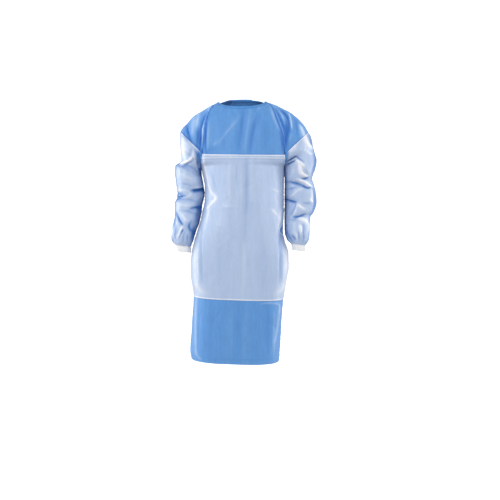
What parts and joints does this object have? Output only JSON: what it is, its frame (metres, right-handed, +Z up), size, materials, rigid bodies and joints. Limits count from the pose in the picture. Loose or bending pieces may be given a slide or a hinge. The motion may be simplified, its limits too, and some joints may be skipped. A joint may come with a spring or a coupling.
{
  "type": "surgical gown",
  "caption": "Long-sleeved reinforced surgical gown in its worn hollow form, with raglan sleeves, lapped back and knit cuffs.",
  "frame": {"origin": "middle of the neck opening, at the height of the shoulder points beside the neck, where the wearer's shoulders carry the gown", "axes": "+Z up from hem to neck, the front faces -Y, +X towards the wearer's left sleeve"},
  "size_m": [0.5811, 0.2925, 1.0477],
  "materials": {
    "back_panel_left": "matte nonwoven",
    "back_panel_right": "matte nonwoven",
    "cuff_left": "ribbed knit",
    "cuff_right": "ribbed knit",
    "front_panel": "matte nonwoven",
    "front_reinforcement": "matte film laminate",
    "neck_binding": "matte nonwoven",
    "neck_tab": "matte nonwoven",
    "sleeve_left": "matte nonwoven",
    "sleeve_reinforcement_left": "matte film laminate",
    "sleeve_reinforcement_right": "matte film laminate",
    "sleeve_right": "matte nonwoven",
    "waist_tie_end_left": "matte nonwoven",
    "waist_tie_end_right": "matte nonwoven",
    "waist_tie_knot": "matte nonwoven",
    "waist_tie_left": "matte nonwoven",
    "waist_tie_right": "matte nonwoven"
  },
  "bodies": {
    "root": {"back_panel_left": "back_panel_left", "back_panel_right": "back_panel_right", "cuff_left": "cuff_left", "cuff_right": "cuff_right", "front_panel": "front_panel", "front_reinforcement": "front_reinforcement", "neck_binding": "neck_binding", "neck_tab": "neck_tab", "sleeve_left": "sleeve_left", "sleeve_reinforcement_left": "sleeve_reinforcement_left", "sleeve_reinforcement_right": "sleeve_reinforcement_right", "sleeve_right": "sleeve_right", "waist_tie_end_left": "waist_tie_end_left", "waist_tie_end_right": "waist_tie_end_right", "waist_tie_knot": "waist_tie_knot", "waist_tie_left": "waist_tie_left", "waist_tie_right": "waist_tie_right"}
  },
  "joints": []
}
